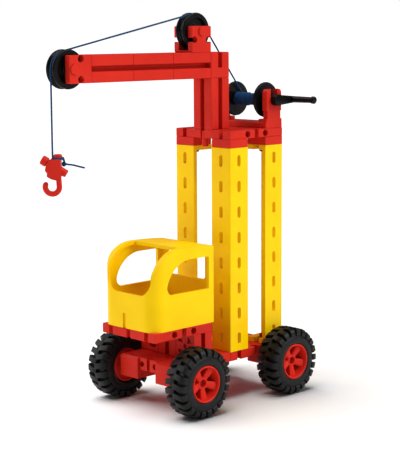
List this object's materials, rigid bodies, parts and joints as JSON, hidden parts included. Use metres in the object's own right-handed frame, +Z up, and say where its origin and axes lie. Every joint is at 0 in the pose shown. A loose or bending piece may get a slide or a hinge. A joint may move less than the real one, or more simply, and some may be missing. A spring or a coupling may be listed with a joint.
{
  "type": "toy tower crane",
  "caption": "Toy tower crane on wheels: driver's cab, girder tower, block jib with pulleys, hand winch, cord and hook.",
  "frame": {"origin": "on the floor, under the middle of the crane's box without its cord", "axes": "-X is the way the cab and jib point, +Z is up, -Y is the side with the crank"},
  "size_m": [0.175, 0.0842, 0.2266],
  "materials": {
    "yellow_plastic": "satin moulded",
    "red_plastic": "satin moulded",
    "dark_red_plastic": "satin moulded",
    "black_plastic": "gloss moulded",
    "black_rubber": "matte",
    "blue_cord": "twisted cord"
  },
  "bodies": {
    "crane_frame": {"tower_leg_front_left": "yellow_plastic", "deck_spacer_front_left": "red_plastic", "axle_block_front_left": "red_plastic", "stub_axle_front_left": "dark_red_plastic", "tower_leg_front_right": "yellow_plastic", "deck_spacer_front_right": "red_plastic", "axle_block_front_right": "red_plastic", "stub_axle_front_right": "dark_red_plastic", "tower_leg_rear_left": "yellow_plastic", "deck_spacer_rear_left": "red_plastic", "axle_block_rear_left": "red_plastic", "stub_axle_rear_left": "dark_red_plastic", "tower_leg_rear_right": "yellow_plastic", "deck_spacer_rear_right": "red_plastic", "axle_block_rear_right": "red_plastic", "stub_axle_rear_right": "dark_red_plastic", "leg_bottom_pins": "dark_red_plastic", "leg_top_pins": "dark_red_plastic", "top_deck": "red_plastic", "deck_pin": "red_plastic", "rear_chassis_plate": "red_plastic", "cab_floor_plate": "red_plastic", "front_chassis_plate": "red_plastic", "front_cross_block": "red_plastic", "cab_block_left": "red_plastic", "cab_block_middle": "red_plastic", "cab_block_right": "red_plastic", "driver_cab": "yellow_plastic", "mast_lower_block": "red_plastic", "mast_upper_block": "red_plastic", "jib_block_inner": "red_plastic", "jib_block_middle": "red_plastic", "jib_block_outer": "red_plastic", "tip_pulley_bearing": "red_plastic", "top_pulley_bearing": "red_plastic", "tip_pulley_axle": "red_plastic", "top_pulley_axle": "red_plastic", "winch_frame": "red_plastic", "upper_cord": "blue_cord", "hanging_cord": "blue_cord"},
    "winch": {"winch_drum": "black_plastic", "winch_crank": "black_plastic", "cord_winding": "blue_cord"},
    "hook": {"crane_hook": "red_plastic", "hook_cross_pin": "red_plastic", "cord_knot": "blue_cord", "cord_tail": "blue_cord"},
    "tip_pulley_wheel": {"tip_pulley": "black_plastic"},
    "top_pulley_wheel": {"top_pulley": "black_plastic"},
    "wheel_front_left": {"rim_front_left": "red_plastic", "tyre_front_left": "black_rubber"},
    "wheel_front_right": {"rim_front_right": "red_plastic", "tyre_front_right": "black_rubber"},
    "wheel_rear_left": {"rim_rear_left": "red_plastic", "tyre_rear_left": "black_rubber"},
    "wheel_rear_right": {"rim_rear_right": "red_plastic", "tyre_rear_right": "black_rubber"}
  },
  "joints": [
    {"name": "wheel_front_left_roll", "type": "hinge", "parent": "crane_frame", "child": "wheel_front_left", "pos_m": [-0.00746, 0.0014, 0.02], "axis": [0, 1, 0], "continuous": true},
    {"name": "wheel_front_right_roll", "type": "hinge", "parent": "crane_frame", "child": "wheel_front_right", "pos_m": [-0.00746, 0.0014, 0.02], "axis": [0, 1, 0], "continuous": true},
    {"name": "wheel_rear_left_roll", "type": "hinge", "parent": "crane_frame", "child": "wheel_rear_left", "pos_m": [0.06754, 0.0014, 0.02], "axis": [0, 1, 0], "continuous": true},
    {"name": "wheel_rear_right_roll", "type": "hinge", "parent": "crane_frame", "child": "wheel_rear_right", "pos_m": [0.06754, 0.0014, 0.02], "axis": [0, 1, 0], "continuous": true},
    {"name": "winch_turn", "type": "hinge", "parent": "crane_frame", "child": "winch", "pos_m": [0.06754, 0.0014, 0.1755], "axis": [0, 1, 0], "range_deg": [-1556, 323]},
    {"name": "hook_lift", "type": "slide", "parent": "crane_frame", "child": "hook", "axis": [0, 0, 1], "range_m": [-0.125, 0.026], "deforming": ["hanging_cord"]},
    {"name": "top_pulley_turn", "type": "hinge", "parent": "crane_frame", "child": "top_pulley_wheel", "pos_m": [0.02254, 0.0014, 0.216], "axis": [0, 1, 0], "range_deg": [-738, 154]},
    {"name": "tip_pulley_turn", "type": "hinge", "parent": "crane_frame", "child": "tip_pulley_wheel", "pos_m": [-0.07196, 0.0014, 0.1965], "axis": [0, 1, 0], "range_deg": [-738, 154]}
  ],
  "couplings": [
    {"joint": "hook_lift", "follows": "winch_turn", "m_per_rad": 0.0046},
    {"joint": "top_pulley_turn", "follows": "winch_turn", "ratio": 0.474},
    {"joint": "tip_pulley_turn", "follows": "winch_turn", "ratio": 0.474}
  ]
}
